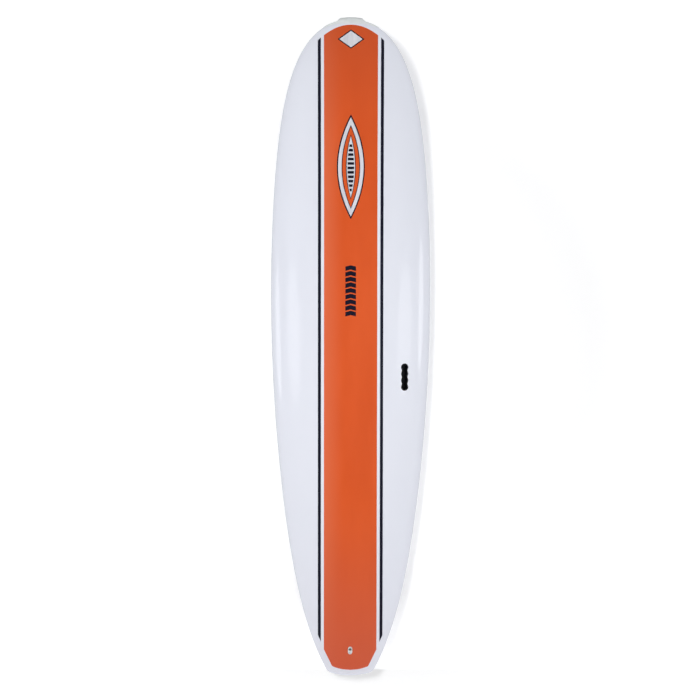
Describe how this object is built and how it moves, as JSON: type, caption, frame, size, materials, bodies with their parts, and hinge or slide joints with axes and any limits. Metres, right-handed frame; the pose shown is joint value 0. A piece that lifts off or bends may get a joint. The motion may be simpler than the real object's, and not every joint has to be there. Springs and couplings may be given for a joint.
{
  "type": "longboard surfboard",
  "caption": "Round-nosed longboard surfboard with a squared tail, removable fins, leash plug, recessed carry grip and soft nose guard.",
  "frame": {"origin": "bottom skin's centreline at mid length, the lowest point of the rocker and the middle of the flat spot", "axes": "+Z towards the nose, -Y out of the deck and +Y out of the bottom, +X towards the right-hand rail as seen from the deck"},
  "size_m": [0.6366, 0.3051, 2.6025],
  "materials": {
    "gloss_white": "clear gloss coat over white",
    "gloss_orange": "clear gloss coat over orange",
    "dark_film": "near-black film under clear gloss",
    "silver_film": "silver film under clear gloss",
    "foam": "white expanded bead foam",
    "dense_foam": "dense closed-cell foam",
    "stringer_wood": "bare softwood",
    "guard_rubber": "milky pale grey soft rubber",
    "black_plastic": "fine satin black",
    "pale_plastic": "satin off-white",
    "seal_rubber": "matt black",
    "fin_glass": "polished black fibreglass",
    "steel": "stainless",
    "brass": "machined"
  },
  "bodies": {
    "board": {"deck_shell": "gloss_white", "bottom_shell": "gloss_white", "foam_core_left": "foam", "foam_core_right": "foam", "stringer": "stringer_wood", "grip_block": "dense_foam", "leash_plug_block": "dense_foam", "fin_box_block": "dense_foam", "side_fin_block_left": "dense_foam", "side_fin_block_right": "dense_foam", "deck_band": "gloss_orange", "pinstripe_left": "dark_film", "pinstripe_right": "dark_film", "deck_badge": "silver_film", "deck_chevrons": "dark_film", "nose_emblem": "silver_film", "nose_guard": "guard_rubber", "carry_grip": "black_plastic", "leash_plug": "pale_plastic", "leash_pin": "steel", "vent_seal": "seal_rubber", "fin_box": "black_plastic", "side_fin_box_left": "black_plastic", "side_fin_box_right": "black_plastic"},
    "fin_pin": {"fin_cross_pin": "brass"},
    "centre_fin": {"centre_fin": "fin_glass"},
    "fin_screw": {"fin_screw": "steel"},
    "nut_plate": {"fin_nut_plate": "brass"},
    "side_fin_left": {"side_fin_left": "fin_glass"},
    "side_fin_right": {"side_fin_right": "fin_glass"},
    "side_screw_left": {"side_fin_screw_left": "steel"},
    "side_screw_right": {"side_fin_screw_right": "steel"},
    "vent_screw": {"vent_screw": "pale_plastic"}
  },
  "joints": [
    {"name": "fin_slide", "type": "slide", "parent": "board", "child": "fin_pin", "axis": [0, 0.0733, 0.9973], "range_m": [-0.035, 0.035]},
    {"name": "fin_tilt", "type": "hinge", "parent": "fin_pin", "child": "centre_fin", "pos_m": [0, -0.04147, -1.06414], "axis": [-1, 0, 0], "range_deg": [0, 25]},
    {"name": "fin_screw_turn", "type": "hinge", "parent": "centre_fin", "child": "fin_screw", "pos_m": [0, -0.02241, -0.91113], "axis": [0, 0.9973, -0.0733], "continuous": true},
    {"name": "nut_plate_slide", "type": "slide", "parent": "board", "child": "nut_plate", "axis": [0, 0.0733, 0.9973], "range_m": [-0.035, 0.035]},
    {"name": "side_fin_left_pull", "type": "slide", "parent": "board", "child": "side_fin_left", "axis": [-0.0747, 0.9941, -0.0791], "range_m": [0, 0.018]},
    {"name": "side_fin_right_pull", "type": "slide", "parent": "board", "child": "side_fin_right", "axis": [0.0747, 0.9941, -0.0791], "range_m": [0, 0.018]},
    {"name": "side_screw_left_turn", "type": "hinge", "parent": "board", "child": "side_screw_left", "pos_m": [-0.14751, -0.02276, -0.89919], "axis": [-0.0747, 0.9941, -0.0791], "continuous": true},
    {"name": "side_screw_right_turn", "type": "hinge", "parent": "board", "child": "side_screw_right", "pos_m": [0.14751, -0.02276, -0.89919], "axis": [0.0747, 0.9941, -0.0791], "continuous": true},
    {"name": "vent_screw_turn", "type": "hinge", "parent": "board", "child": "vent_screw", "pos_m": [0, -0.08098, -1.19785], "axis": [0, -0.9992, -0.0404], "continuous": true}
  ],
  "couplings": [
    {"joint": "nut_plate_slide", "follows": "fin_slide", "ratio": 1}
  ]
}
